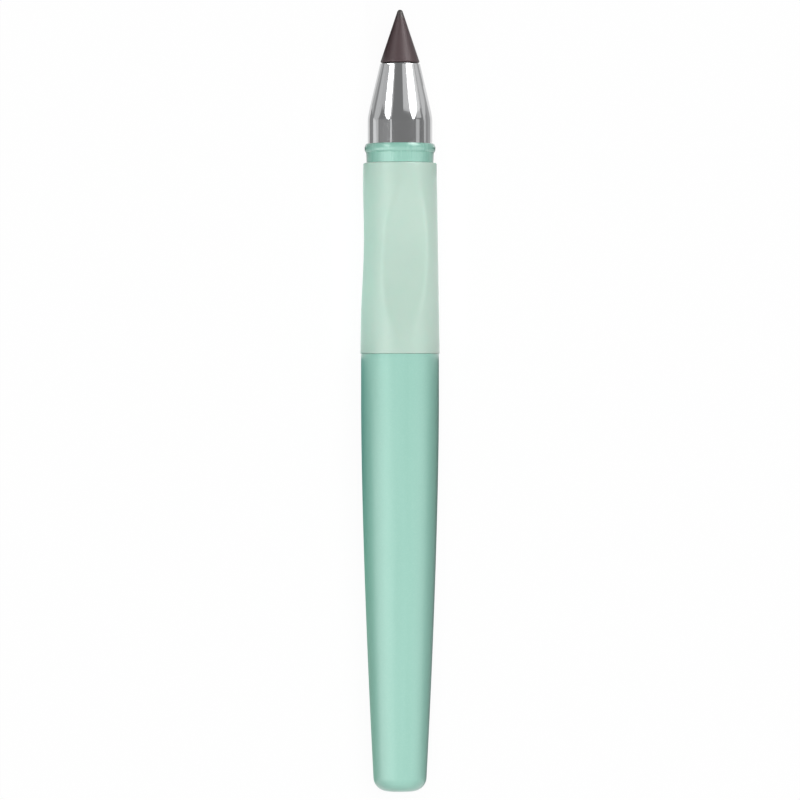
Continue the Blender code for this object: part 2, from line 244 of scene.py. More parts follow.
class NibSettings(bpy.types.PropertyGroup):
    point_radius: size("Point radius", "Rounding of the writing point", 0.5 * MM)
    base_radius: size("Base radius", "Outside of the base", NIB_RADIUS + 0.07 * MM)
    edge: size("Edge", "Rounding of the base's edge", 0.22 * MM)
    hole_radius: size("Hole radius", "Hole that the stud is bonded into", 1.6 * MM)
    hole_depth: size("Hole depth", "Depth of that hole", 4.3 * MM)
    burnish: size("Burnish", "Length of the point that writing has rubbed smooth", 2.2 * MM)
    colour: colour("Colour", "Graphite alloy", "564547")
    dark_colour: colour("Dark colour", "Darker grain of the alloy", "403436")
    worn_colour: colour("Worn colour", "Grey of the point where writing has rubbed it", "484644")


class StageSettings(bpy.types.PropertyGroup):
    image_span: size("Image span", "Width of the picture at the pencil's axis", 138.23 * MM)
    image_along: size("Image middle", "Place along the pencil at the picture's middle", 67.56 * MM)
    lens: FloatProperty(name="Lens", description="Focal length", default=250.0, min=1.0, unit="CAMERA")
    front_light: number("Front light", "Strength of the broad light behind the camera", 2.5)
    front_spread: angle("Front spread", "Angle that the broad light covers", 50.0)
    front_turn: angle("Front turn", "How far to -Y the broad light stands", 6.0)
    front_lean: angle("Front lean", "How far to the nib the broad light stands", 5.0)
    ambient: share("Ambient", "Light of the room on dull surfaces", 0.2)
    room: share("Room", "Brightness of the dim room in polished surfaces", 0.22)
    shadow: share("Shadow", "How much of the floor's own shading the picture shows", 0.06)


class PencilSettings(bpy.types.PropertyGroup):
    segments: IntProperty(name="Segments", description="Facets round a turned piece", default=192, min=24)
    spacing: size("Row spacing", "Longest stretch between two rows of points", 0.5 * MM)
    barrel: PointerProperty(type=BarrelSettings)
    core: PointerProperty(type=CoreSettings)
    sleeve: PointerProperty(type=SleeveSettings)
    nose: PointerProperty(type=NoseSettings)
    bush: PointerProperty(type=BushSettings)
    stud: PointerProperty(type=StudSettings)
    nib: PointerProperty(type=NibSettings)
    stage: PointerProperty(type=StageSettings)


# Outlines: rows of (along, radius) that run towards the nib on the outer side


def arc(along, radius, rounding, start, end, count, height=None):
    """Points of a circle about (along, radius), or of an ellipse where a height is given.

    The angle in degrees is 0 away from the axis and 90 towards the nib.
    """
    turn = np.radians(np.linspace(start, end, count))
    height = rounding if height is None else height
    return np.column_stack((along + rounding * np.sin(turn), radius + height * np.cos(turn)))


def refined(points, spacing):
    """The same outline, with points added evenly so that no stretch is longer than the spacing."""
    steps = np.diff(points, axis=0)
    counts = np.maximum(1, np.ceil(np.hypot(steps[:, 0], steps[:, 1]) / spacing)).astype(int)
    first = np.repeat(np.cumsum(counts) - counts, counts)
    part = (np.arange(counts.sum()) - first) / np.repeat(counts, counts)
    inner = np.repeat(points[:-1], counts, axis=0) + part[:, None] * np.repeat(steps, counts, axis=0)
    return np.vstack((inner, points[-1:]))


def ring_outline(points, spacing):
    """A closed outline, refined, whose last row joins its first."""
    points = np.vstack(points)
    return refined(np.vstack((points, points[:1])), spacing)[:-1]


def turn_angles(segments):
    return math.tau * np.arange(segments) / segments


def thread(along, turn, pitch, start, end):
    """Height of a right-hand thread, from 0 in the groove to 1 on the crest.

    It is a trapezoid wave of the distance along, less one pitch for each turn, a quarter of it crest and a
    quarter groove. Over one pitch at either end it sinks into the groove.
    """
    phase = (along[:, None] / pitch - turn[None, :] / math.tau) % 1.0
    ridge = np.clip(1.5 - 4.0 * np.abs(phase - 0.5), 0.0, 1.0)
    fade = np.clip((along - start) / pitch, 0.0, 1.0) * np.clip((end - along) / pitch, 0.0, 1.0)
    return ridge * fade[:, None]


def thread_cut(points, level, made, start, end, segments):
    """Radii of an outline's grid: each row's own, and on the rows at one level the thread's height more."""
    radius = np.repeat(points[:, 1:], segments, axis=1)
    height = made.thread_depth * thread(points[:, 0], turn_angles(segments), made.pitch, start, end)
    threaded = np.abs(points[:, 1] - level) < SAME_LEVEL
    return np.where(threaded[:, None], radius + height, radius)


def soft_lesser(first, second, blend):
    """The lesser of two lengths. Where they differ by less than the blend, a parabola rounds the crease."""
    part = np.clip(0.5 + 0.5 * (second - first) / blend, 0.0, 1.0)
    return second + (first - second) * part - blend * part * (1.0 - part)


def turned(name, points, radius, closed, segments):
    """An object made of an outline's rows, each carried once round the axis.

    A point of the grid is at its row's distance along, and from the axis by its radius times the sine of its
    angle to -Y and the cosine up. A closed outline makes a ring. An open one starts and ends on the axis,
    where its first and last rows are one point each.
    """
    turn = turn_angles(segments)
    if radius is None:
        radius = np.repeat(points[:, 1:], segments, axis=1)
    along = np.repeat(points[:, :1], segments, axis=1) + CAD_BOX[0].x
    grid = np.stack((along, -radius * np.sin(turn), AXIS_HEIGHT + radius * np.cos(turn)), axis=-1)
    if closed:
        vertices = grid.reshape(-1, 3)
        corner = np.arange(len(vertices)).reshape(len(grid), segments)
        after = np.roll(corner, -1, axis=0)
        fans = []
    else:
        vertices = np.vstack((grid[1:-1].reshape(-1, 3), grid[0, :1], grid[-1, :1]))
        rows = np.arange(len(vertices) - 2).reshape(-1, segments)
        corner, after = rows[:-1], rows[1:]
        rear, front = np.full(segments, len(vertices) - 2), np.full(segments, len(vertices) - 1)
        first, last = rows[0], rows[-1]
        fans = np.stack((rear, np.roll(first, -1), first), axis=-1).tolist()
        fans += np.stack((last, np.roll(last, -1), front), axis=-1).tolist()
    quads = np.stack((corner, np.roll(corner, -1, axis=1), np.roll(after, -1, axis=1), after), axis=-1)
    mesh = bpy.data.meshes.new(name)
    mesh.from_pydata(vertices, [], quads.reshape(-1, 4).tolist() + fans)
    check_outwards(mesh)
    mesh.shade_smooth()
    mesh.set_sharp_from_angle(angle=math.radians(40.0))
    piece = bpy.data.objects.new(name, mesh)
    bpy.context.scene.collection.objects.link(piece)
    return piece


def check_outwards(mesh):
    """Stops on a mesh that isn't closed or whose faces point inwards."""
    shell = bmesh.new()
    shell.from_mesh(mesh)
    open_edges = sum(not edge.is_manifold for edge in shell.edges)
    volume = shell.calc_volume(signed=True)
    shell.free()
    if open_edges or volume <= 0.0:
        raise RuntimeError(f"{mesh.name} has {open_edges} open edges and a volume of {volume}")


def stand_for(piece, node, finish):
    """Gives a piece its finish and puts it in the place of a node, on the node's body."""
    piece.data.materials.append(finish)
    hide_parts(node)
    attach(piece, BODY_OF[node])


# Materials


def add_node(tree, kind, inputs=None, **settings):
    """Adds a shader node of a kind. An input is a value or the socket that feeds it."""
    made = tree.nodes.new("ShaderNode" + kind)
    for name, value in settings.items():
        setattr(made, name, value)
    for socket, value in (inputs or {}).items():
        if isinstance(value, bpy.types.NodeSocket):
            tree.links.new(value, made.inputs[socket])
        else:
            made.inputs[socket].default_value = value
    return made


def new_material(name, **values):
    """A material, its tree, its shader and the object's coordinates. Values go on the shader's sockets."""
    made = bpy.data.materials.new(name)
    made.use_nodes = True
    tree = made.node_tree
    shader = tree.nodes["Principled BSDF"]
    for socket, value in values.items():
        shader.inputs[socket.replace("_", " ").title().replace("Ior", "IOR")].default_value = value
    return made, tree, shader, add_node(tree, "TexCoord").outputs["Object"]


def drawn_noise(tree, place, along, across, detail):
    """Noise drawn out to one size along the pencil's axis and another across it, as flow lines or rings."""
    drawn = add_node(tree, "Mapping", {"Vector": place, "Scale": (1.0 / along, 1.0 / across, 1.0 / across)})
    noise = add_node(tree, "TexNoise", {"Vector": drawn.outputs[0], "Scale": 1.0, "Detail": detail})
    return noise.outputs["Fac"]


def surface_marks(tree, shader, wear, relief, smooth, rough, strength, depth):
    """Lets one pattern vary the roughness between two values, and another raise the surface by a depth."""
    gloss = add_node(
        tree, "MapRange",
        {"Value": wear, "From Min": 0.3, "From Max": 0.7, "To Min": smooth, "To Max": rough},
    )
    bump = add_node(tree, "Bump", {"Height": relief, "Strength": strength, "Distance": depth})
    tree.links.new(gloss.outputs[0], shader.inputs["Roughness"])
    tree.links.new(bump.outputs[0], shader.inputs["Normal"])
    return gloss.outputs[0]


def pearl_abs(name, settings, smooth, rough, haze, coat):
    """ABS moulded with pearl pigment: fine mica that lifts the shoulders, faint flow lines lengthwise, and a
    painted glint of the mica flakes.

    Haze is the roughness of the layer over the pigment and coat its index. A hazy layer of mica pales the
    side that faces the light, and a clear one sharpens the highlights.
    """
    made, tree, shader, place = new_material(
        name, ior=1.53, coat_weight=1.0, coat_roughness=haze, coat_ior=coat
    )
    flow_width = 1.6 * MM
    flow_length = 45.0 * MM
    # Mica of 0.05 mm is too fine to show, so the flakes are drawn at the width of a pixel.
    flake = 0.2 * MM
    flow = drawn_noise(tree, place, flow_length, flow_width, detail=3.0)
    # Painted glint: the flakes are real, but their sparkle is painted into the base colour as paler random
    # cells, up to 12 percent of the flake colour.
    flakes = add_node(tree, "TexVoronoi", {"Vector": place, "Scale": 1.0 / flake})
    painted_glint = add_node(
        tree, "MapRange",
        {"Value": flakes.outputs["Color"], "From Min": 0.45, "From Max": 1.0, "To Min": 0.0, "To Max": 0.12},
    )
    tint = add_node(tree, "Mix", {0: flow, 6: settings.colour, 7: settings.streak_colour}, data_type="RGBA")
    sparkle_painted_in = add_node(
        tree, "Mix", {0: painted_glint.outputs[0], 6: tint.outputs[2], 7: settings.painted_sparkle_colour}, data_type="RGBA"
    )
    tree.links.new(sparkle_painted_in.outputs[2], shader.inputs["Base Color"])
    grain = add_node(tree, "TexNoise", {"Vector": place, "Scale": 1.0 / flake, "Detail": 2.0})
    relief = grain.outputs["Fac"]
    surface_marks(tree, shader, flow, relief, smooth, rough, strength=0.05, depth=0.02 * MM)
    return made


def soft_tpe(settings):
    """Milky TPE moulded in a finely eroded tool: light goes a little way in, and the surface is matt."""
    made, tree, shader, place = new_material(
        "milky_tpe", ior=1.5, specular_ior_level=0.65, subsurface_weight=0.45, subsurface_scale=1.4 * MM,
        sheen_weight=1.0, sheen_roughness=0.22, sheen_tint=linear("E4F6EE"),
    )
    shader.inputs["Subsurface Radius"].default_value = (0.5, 1.0, 0.85)
    cloud_size = 4.0 * MM
    # The eroded texture is about 0.03 mm, drawn at 0.15 mm so that it shows.
    texture = 0.15 * MM
    cloud = add_node(tree, "TexNoise", {"Vector": place, "Scale": 1.0 / cloud_size, "Detail": 3.0})
    milk = add_node(
        tree, "MapRange",
        {"Value": cloud.outputs["Fac"], "From Min": 0.3, "From Max": 0.7, "To Min": 0.0, "To Max": 0.1},
    )
    tint = add_node(
        tree, "Mix", {0: milk.outputs[0], 6: settings.colour, 7: settings.deep_colour}, data_type="RGBA"
    )
    tree.links.new(tint.outputs[2], shader.inputs["Base Color"])
    noise = add_node(tree, "TexNoise", {"Vector": place, "Scale": 1.0 / texture, "Detail": 2.0})
    grain = noise.outputs["Fac"]
    surface_marks(tree, shader, grain, grain, smooth=0.3, rough=0.38, strength=0.12, depth=0.03 * MM)
    return made


def chrome_plate(settings):
    """Bright chrome over a polished turning: near-mirror, with faint rings left by the polishing wheel."""
    made, tree, shader, place = new_material("chrome_plate", metallic=1.0, base_color=settings.colour)
    # Polishing rings of about 0.02 mm, drawn at 0.25 mm so that they show.
    ring = 0.25 * MM
    smear = 3.0 * MM
    rings = drawn_noise(tree, place, ring, smear, detail=2.0)
    surface_marks(tree, shader, rings, rings, smooth=0.07, rough=0.11, strength=0.02, depth=0.01 * MM)
    return made


def turned_metal(name, colour_value, smooth, rough):
    """Bare metal from a lathe: fine rings round the axis that scatter the light between two roughnesses."""
    made, tree, shader, place = new_material(name, metallic=1.0, base_color=colour_value)
    # Turning marks of about 0.05 mm, drawn at 0.12 mm so that they show.
    ring = 0.12 * MM
    drift = 6.0 * MM
    marks = drawn_noise(tree, place, ring, drift, detail=3.0)
    surface_marks(tree, shader, marks, marks, smooth, rough, strength=0.15, depth=0.01 * MM)
    return made


def graphite_alloy(settings):
    """Pressed and sintered graphite alloy: dull grey-brown grain, ground rings, and a point rubbed bright."""
    made, tree, shader, place = new_material("graphite_alloy", ior=1.45, specular_ior_level=0.5)
    grain_size = 0.25 * MM
    ring = 0.35 * MM
    drift = 5.0 * MM
    grain = add_node(
        tree, "TexNoise", {"Vector": place, "Scale": 1.0 / grain_size, "Detail": 4.0, "Roughness": 0.6}
    )
    rings = drawn_noise(tree, place, ring, drift, detail=2.0)
    ring_share = 0.35
    mixed = add_node(
        tree, "Mix", {0: ring_share, 2: grain.outputs["Fac"], 3: rings}, data_type="FLOAT"
    ).outputs[0]
    tint = add_node(tree, "Mix", {0: mixed, 6: settings.dark_colour, 7: settings.colour}, data_type="RGBA")
    split = add_node(tree, "SeparateXYZ", {"Vector": place})
    tip = CAD_BOX[0].x + NIB_TIP
    worn = add_node(
        tree, "MapRange",
        {"Value": split.outputs["X"], "From Min": tip - settings.burnish, "From Max": tip,
         "To Min": 0.0, "To Max": 1.0},
        interpolation_type="SMOOTHSTEP",
    )
    greyed = add_node(
        tree, "Mix", {0: worn.outputs[0], 6: tint.outputs[2], 7: settings.worn_colour}, data_type="RGBA"
    )
    tree.links.new(greyed.outputs[2], shader.inputs["Base Color"])
    gloss = surface_marks(
        tree, shader, mixed, mixed, smooth=0.38, rough=0.5, strength=0.2, depth=0.03 * MM
    )
    rubbing = 0.12
    burnish = add_node(tree, "Math", {0: worn.outputs[0], 1: rubbing}, operation="MULTIPLY")
    rubbed = add_node(tree, "Math", {0: gloss, 1: burnish.outputs[0]}, operation="SUBTRACT")
    tree.links.new(rubbed.outputs[0], shader.inputs["Roughness"])
    return made


# Pieces


class PENCIL_OT_barrel(bpy.types.Operator):
    """Turn the barrel: a tapered tube with a rounded, closed end and a thread in its mouth"""

    bl_idname = "pencil.turn_barrel"
    bl_label = "Barrel"

    def execute(self, context):
        pencil = context.scene.pencil
        made = pencil.barrel
        mouth = BARREL_MOUTH + made.seam
        bend = BARREL_MOUTH - made.straight
        thread_crest = made.mouth_radius - made.wall

        def outside(along):
            """The mouth's radius, less the taper: the share of the way to the foot, to a power."""
            part = np.clip((bend - along) / bend, 0.0, 1.0)
            return made.mouth_radius - (made.mouth_radius - made.foot_radius) * part**made.taper_power

        hollow = np.linspace(made.floor, bend, 60)
        side = np.linspace(made.end_rounding, bend, 120)[1:]
        rim = made.rim_rounding
        edge = float(outside(made.end_rounding)) - made.end_rounding
        foot = arc(made.end_rounding, edge, made.end_rounding, -90.0, 0.0, 16)
        lip = arc(mouth - rim, made.mouth_radius - rim, rim, 0.0, 90.0, 6)
        inner_lip = arc(mouth - rim, thread_crest + rim, rim, 90.0, 180.0, 6)
        inside = np.column_stack((hollow, outside(hollow) - made.wall))[::-1]
        points = [[(0.0, 0.0)], foot, np.column_stack((side, outside(side))), lip, inner_lip]
        bore = np.linspace(mouth - 2 * rim, bend, 90)
        threaded = np.column_stack((bore, np.full(len(bore), thread_crest)))
        points += [threaded, inside[1:], [(made.floor, 0.0)]]
        points = refined(np.vstack(points), 2 * pencil.spacing)
        radius = thread_cut(points, thread_crest, made, bend, mouth - rim, pencil.segments)
        piece = turned("barrel_shell", points, radius, False, pencil.segments)
        finish = pearl_abs("satin_pearl_abs", made, smooth=0.34, rough=0.42, haze=0.35, coat=1.5)
        stand_for(piece, "barrel", finish)
        return {"FINISHED"}


class PENCIL_OT_core(bpy.types.Operator):
    """Turn the grip's hard core: bead, neck, tube under the sleeve and threaded spigot"""

    bl_idname = "pencil.turn_core"
    bl_label = "Grip core"

    def execute(self, context):
        pencil = context.scene.pencil
        made = pencil.core
        neck_front = made.neck_radius + made.neck_rise / 2
        crest, height = made.bead_front - made.bead_brow, BEAD_RADIUS + made.bead_crown
        back = arc(crest, neck_front, made.bead_back, -90.0, 0.0, 16, height - neck_front)
        brow = arc(crest, height - made.bead_drop, made.bead_brow, 0.0, 90.0, 20, made.bead_drop)
        root = made.spigot_radius - made.thread_depth
        flange = 0.2 * MM
        flange_rear = made.spigot_shoulder - flange
        thread_front = flange_rear - made.relief
        screw = refined(np.array([(CORE_REAR + made.chamfer, root), (thread_front, root)]), CORE_ROWS)
        neck = [(made.neck_rear, neck_front - made.neck_rise)]
        points = [
            [(CORE_REAR, made.bore_radius), (CORE_REAR, root - made.chamfer)],
            screw,
            [(flange_rear, root), (flange_rear, made.spigot_radius)],
            [(made.spigot_shoulder, made.spigot_radius), (made.spigot_shoulder, made.tube_radius)],
            [(made.neck_rear, made.tube_radius)],
            refined(np.vstack((neck, back, brow[1:])), CORE_ROWS),
            [(made.bead_front, made.bore_radius)],
        ]
        points = ring_outline(points, PLAIN_ROWS)
        radius = thread_cut(points, root, made, CORE_REAR, thread_front, pencil.segments)
        piece = turned("grip_core_moulding", points, radius, True, pencil.segments)
        finish = pearl_abs("glossy_pearl_abs", made, smooth=0.24, rough=0.3, haze=0.2, coat=1.43)
        stand_for(piece, "grip_core", finish)
        return {"FINISHED"}


class PENCIL_OT_sleeve(bpy.types.Operator):
    """Mould the soft sleeve: a tapered tube with long hollow finger flats"""

    bl_idname = "pencil.mould_sleeve"
    bl_label = "Grip sleeve"

    def execute(self, context):
        pencil = context.scene.pencil
        made = pencil.sleeve
        rear = SLEEVE_REAR - made.seam
        back = arc(rear + made.rear_edge, made.rear_radius - made.rear_edge, made.rear_edge, -90.0, 0.0, 6)
        front_middle = SLEEVE_FRONT - made.front_edge
        front = arc(front_middle, made.front_radius - made.front_edge, made.front_edge, 0.0, 90.0, 8)
        points = [[(rear, made.bore_radius)], back, front, [(SLEEVE_FRONT, made.bore_radius)]]
        points = ring_outline(points, SLEEVE_ROWS)
        radius = self.cut_flats(made, points, turn_angles(pencil.segments))
        piece = turned("grip_sleeve_skin", points, radius, True, pencil.segments)
        stand_for(piece, "grip_sleeve", soft_tpe(made))
        return {"FINISHED"}

    def cut_flats(self, made, points, turn):
        """Radius of the sleeve: the softly lesser of the taper and of each flat.

        A flat is a plane across the sleeve, so its radius is its distance from the axis over the cosine of
        the angle to it. The distance grows from its least by the square of the way from the middle over the
        drum's diameter, measured along a line that leans to the axis.
        """
        radius = np.repeat(points[:, 1:], len(turn), axis=1)
        away = (points[:, 0] - made.flat_middle)[:, None]
        least_cosine = 0.1
        for index in range(made.flat_count):
            off = turn - made.flat_turn - math.tau * index / made.flat_count
            facing = np.maximum(np.cos(off), least_cosine)
            aside = made.flat_distance * np.sin(off) / facing
            hollow = away * math.cos(made.flat_lean) - aside * math.sin(made.flat_lean)
            plane = (made.flat_distance + hollow**2 / (2 * made.flat_drum)) / facing
            radius = soft_lesser(radius, plane, made.crease)
        return radius


class PENCIL_OT_nose(bpy.types.Operator):
    """Turn the chromed nose: a swelling cone that runs into a straight band"""

    bl_idname = "pencil.turn_nose"
    bl_label = "Nose cone"

    def execute(self, context):
        pencil = context.scene.pencil
        made = pencil.nose
        bend = made.base + made.band
        # The cone is a branch of a hyperbola: level at the bend, and near its slope a swell further on.
        side = np.linspace(bend, NOSE_FRONT - made.edge, 80)
        fall = np.hypot(side - bend, made.swell) - made.swell
        cone = NOSE_RADIUS - (NOSE_RADIUS - made.front_radius) * fall / fall[-1]
        lip = arc(NOSE_FRONT - made.edge, made.front_radius - made.edge, made.edge, 0.0, 90.0, 6)
        bush_gap = 0.1 * MM
        ledge = BUSH_REAR - bush_gap
        points = [
            [(NOSE_REAR, made.tail_bore), (NOSE_REAR, made.spigot_radius), (made.base, made.spigot_radius)],
            [(made.base, NOSE_RADIUS)],
            np.column_stack((side, cone)),
            lip,
            [(NOSE_FRONT, made.seat_radius), (ledge, made.seat_radius), (ledge, made.tail_bore)],
        ]
        piece = turned("nose_shell", ring_outline(points, FACE_ROWS), None, True, pencil.segments)
        stand_for(piece, "nose_cone", chrome_plate(made))
        return {"FINISHED"}


class PENCIL_OT_bush(bpy.types.Operator):
    """Turn the brass bush that takes the nib's stud: barbs outside, a fine thread inside"""

    bl_idname = "pencil.turn_bush"
    bl_label = "Nib bush"

    def execute(self, context):
        pencil = context.scene.pencil
        made = pencil.bush
        segments = pencil.segments // 2
        tooth = (BUSH_FRONT - BUSH_REAR) / (made.barb_count + 1)
        steep_share = 0.3
        waist = BUSH_RADIUS - made.barb_depth
        barb = BUSH_FRONT - tooth * np.arange(made.barb_count, 0, -1)
        teeth = np.empty((2 * made.barb_count, 2))
        teeth[0::2] = np.column_stack((barb, np.full(made.barb_count, waist)))
        teeth[1::2] = np.column_stack((barb + steep_share * tooth, np.full(made.barb_count, BUSH_RADIUS)))
        wide = made.bore_radius + made.chamfer
        points = [
            [(BUSH_REAR, made.bore_radius), (BUSH_REAR, waist)],
            teeth,
            [(BUSH_FRONT, BUSH_RADIUS), (BUSH_FRONT, wide), (BUSH_FRONT - made.chamfer, made.bore_radius)],
        ]
        points = ring_outline(points, THREAD_ROWS)
        radius = thread_cut(points, made.bore_radius, made, BUSH_REAR, BUSH_FRONT, segments)
        piece = turned("bush_turning", points, radius, True, segments)
        stand_for(piece, "nib_bush", turned_metal("turned_brass", made.colour, smooth=0.2, rough=0.34))
        return {"FINISHED"}


class PENCIL_OT_stud(bpy.types.Operator):
    """Turn the threaded stud that the nib is bonded to"""

    bl_idname = "pencil.turn_stud"
    bl_label = "Nib stud"

    def execute(self, context):
        pencil = context.scene.pencil
        made = pencil.stud
        segments = pencil.segments // 2
        root = STUD_RADIUS - made.thread_depth
        chamfer = made.chamfer
        points = [
            [(STUD_REAR, 0.0), (STUD_REAR, root - chamfer), (STUD_REAR + chamfer, root)],
            [(STUD_FRONT - chamfer, root), (STUD_FRONT, root - chamfer), (STUD_FRONT, 0.0)],
        ]
        points = refined(np.vstack(points), THREAD_ROWS)
        radius = thread_cut(points, root, made, STUD_REAR, STUD_FRONT, segments)
        piece = turned("stud_thread", points, radius, False, segments)
        stand_for(piece, "nib_stud", turned_metal("zinc_plated_steel", made.colour, smooth=0.24, rough=0.38))
        return {"FINISHED"}


class PENCIL_OT_nib(bpy.types.Operator):
    """Press the writing nib: a cone with a ball point, a soft base edge and a blind hole for its stud"""

    bl_idname = "pencil.press_nib"
    bl_label = "Writing nib"

    def execute(self, context):
        pencil = context.scene.pencil
        made = pencil.nib
        ball = NIB_TIP - made.point_radius
        base = NIB_BASE + made.edge
        # The flank touches both roundings, so one angle serves the ball's circle and the edge's.
        fall = ball - base
        reach_out = made.base_radius - made.edge
        lean = math.atan2(reach_out, fall)
        lean += math.asin((made.edge - made.point_radius) / math.hypot(reach_out, fall))
        touch = math.degrees(lean)
        hole_end = NIB_BASE + made.hole_depth
        points = [
            [(hole_end, 0.0), (hole_end, made.hole_radius), (NIB_BASE, made.hole_radius)],
            arc(base, reach_out, made.edge, -90.0, touch, 16),
            arc(ball, 0.0, made.point_radius, touch, 90.0, 16),
        ]
        points = np.vstack(points)
        points[-1, 1] = 0.0
        piece = turned("nib_cone", refined(points, FACE_ROWS), None, False, pencil.segments)
        stand_for(piece, "writing_nib", graphite_alloy(made))
        return {"FINISHED"}


# Stage

WHITE = "FFFFFF"
# Who sees a card: polished surfaces, dull ones or both
GLOSS, DULL, BOTH = {"GLOSS"}, {"DULL"}, {"GLOSS", "DULL"}


def stage_mesh(name, grid):
    """A sheet of the stage from a grid of points. Its faces join neighbouring rows and columns."""
    rows, columns = grid.shape[:2]
    corner = np.arange(rows * columns).reshape(rows, columns)
    quads = np.stack((corner[:-1, :-1], corner[1:, :-1], corner[1:, 1:], corner[:-1, 1:]), axis=-1)
    mesh = bpy.data.meshes.new(name)
    mesh.from_pydata(grid.reshape(-1, 3), [], quads.reshape(-1, 4).tolist())
    made = bpy.data.objects.new(name, mesh)
    bpy.context.scene.collection.objects.link(made)
    return made


def bare_tree(block):
    """The node tree of a material or a world, emptied."""
    block.use_nodes = True
    block.node_tree.nodes.clear()
    return block.node_tree


def glow(name, strength, tint=WHITE, graded=False):
    """A card that shines, or a flag that stays dark. Its back is clear, so the paper below sees the room.

    The card is even, or takes its colour from the mesh's own attribute, named shade.
    """
    made = bpy.data.materials.new(name)
    tree = bare_tree(made)
    side = add_node(tree, "NewGeometry")
    clear = add_node(tree, "BsdfTransparent")
    light = add_node(tree, "Emission", {"Color": linear(tint), "Strength": strength})
    if graded:
        shade = add_node(tree, "Attribute", attribute_name="shade")
        tree.links.new(shade.outputs["Color"], light.inputs["Color"])
    surface = add_node(
        tree, "MixShader", {0: side.outputs["Backfacing"], 1: light.outputs[0], 2: clear.outputs[0]}
    )
    add_node(tree, "OutputMaterial", {"Surface": surface.outputs[0]})
    return made


def hide_card(card, finish, seen):
    """Gives a card its glow and hides it from all but the surfaces that are to see it."""
    card.data.materials.append(finish)
    card.visible_camera = False
    card.visible_transmission = False
    card.visible_shadow = False
    card.visible_glossy = "GLOSS" in seen
    card.visible_diffuse = "DULL" in seen


def dome_card(name, lift, low, high, strength):
    """A card on a wide dome about the pencil, facing it.

    Lift is its range of angles towards the nib. Low and high are its ranges of angles about the pencil's
    axis, from the top towards -Y, at its two ends, all in degrees; between them the range changes evenly.
    A point is the dome's radius in the direction that the two angles give.
    """
    dome = 2.0
    steps = np.linspace(0.0, 1.0, 24)
    part, place = np.meshgrid(steps, steps, indexing="ij")
    near = low[0] + (high[0] - low[0]) * place
    far = low[1] + (high[1] - low[1]) * place
    side = np.radians(near + (far - near) * part)
    rise = np.radians(lift[0] + (lift[1] - lift[0]) * place)
    way = np.stack((np.sin(rise), -np.sin(side) * np.cos(rise), np.cos(side) * np.cos(rise)), axis=-1)
    card = stage_mesh(name, dome * way[::-1])
    hide_card(card, glow(name, strength), GLOSS)


# Cards on the dome: name, angles towards the nib, angles across at either end, brightness
DOME_CARDS = (
    ("softbox_left_foot", (8.0, 22.0), (-44.0, -39.0), (-57.0, -37.0), 6.0),
    ("softbox_left", (22.0, 31.0), (-58.0, -37.0), (-63.0, -37.0), 6.0),
    ("softbox_left_head", (31.0, 60.0), (-62.0, -37.0), (-62.0, -37.0), 1.6),
    ("softbox_left_edge", (12.0, 60.0), (-37.0, -32.0), (-37.0, -26.0), 0.7),
    ("softbox_left_shade", (9.0, 24.0), (-90.0, -84.0), (-90.0, -76.0), 0.56),
    ("softbox_left_wing", (24.0, 60.0), (-90.0, -62.0), (-90.0, -62.0), 0.55),
    ("softbox_right_foot", (8.0, 22.0), (47.0, 51.0), (42.0, 62.0), 3.0),
    ("softbox_right", (22.0, 31.0), (42.0, 64.0), (36.0, 80.0), 3.0),
    ("softbox_right_head", (31.0, 60.0), (36.0, 72.0), (36.0, 72.0), 7.5),
    ("softbox_right_edge", (24.5, 27.0), (34.0, 41.0), (13.0, 39.0), 0.62),
    ("softbox_right_wing", (27.0, 60.0), (13.0, 39.0), (13.0, 36.0), 0.65),
    ("softbox_right_shade", (12.0, 22.0), (62.0, 84.0), (62.0, 84.0), 0.6),
    ("softbox_right_side", (22.0, 31.0), (64.0, 84.0), (80.0, 84.0), 0.9),
    ("softbox_right_end", (22.0, 31.0), (84.0, 90.0), (84.0, 90.0), 0.7),
    ("strip_left", (-1.0, 8.0), (-35.0, -29.5), (-35.0, -29.5), 0.75),
    ("strip_right", (-1.0, 8.0), (59.0, 74.0), (59.0, 74.0), 0.55),
    ("room_left", (-1.0, 8.0), (-80.0, -36.0), (-80.0, -36.0), 0.29),
    ("horizon_left", (-1.0, 8.0), (-90.0, -83.0), (-90.0, -83.0), 0.6),
    ("overhead_left_wing", (-5.0, -1.0), (-90.0, -89.0), (-84.0, -58.0), 0.8),
    ("overhead_left", (-5.0, -1.0), (-89.0, -20.0), (-58.0, -18.0), 6.5),
    ("overhead_left_rear", (-20.0, -5.0), (-90.0, -20.0), (-90.0, -20.0), 3.0),
    ("overhead", (-20.0, -1.0), (-18.0, 34.0), (-18.0, 34.0), 1.4),
    ("overhead_right", (-8.0, -1.0), (34.0, 86.0), (34.0, 86.0), 3.4),
    ("overhead_right_rear", (-20.0, -8.0), (34.0, 86.0), (34.0, 86.0), 1.4),
    ("tail_light", (-80.0, -20.0), (-80.0, 80.0), (-80.0, 80.0), 1.6),
)
